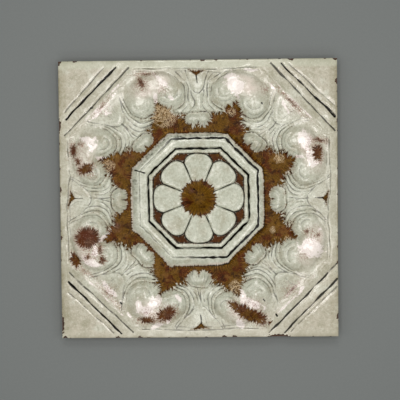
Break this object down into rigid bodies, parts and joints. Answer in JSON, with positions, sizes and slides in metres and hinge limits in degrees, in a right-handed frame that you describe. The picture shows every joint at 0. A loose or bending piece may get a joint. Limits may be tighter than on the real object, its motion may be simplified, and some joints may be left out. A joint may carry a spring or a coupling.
{
  "type": "relief wall tile",
  "caption": "Square glazed ceramic wall tile with a moulded floral relief: a rosette in an octagonal frame, ringed by palmettes and scrolls.",
  "frame": {"origin": "centre of the flat back, the face that beds on the wall", "axes": "+Z out of the decorated face, +Y to the top edge of the design, +X to its right edge"},
  "size_m": [0.1524, 0.1524, 0.0138],
  "materials": {
    "glaze": "opaque cream glaze, glossy, brown in the hollows, worn at the crests and chipped to red clay at the edges"
  },
  "bodies": {
    "root": {"relief_tile": "glaze"}
  },
  "joints": []
}
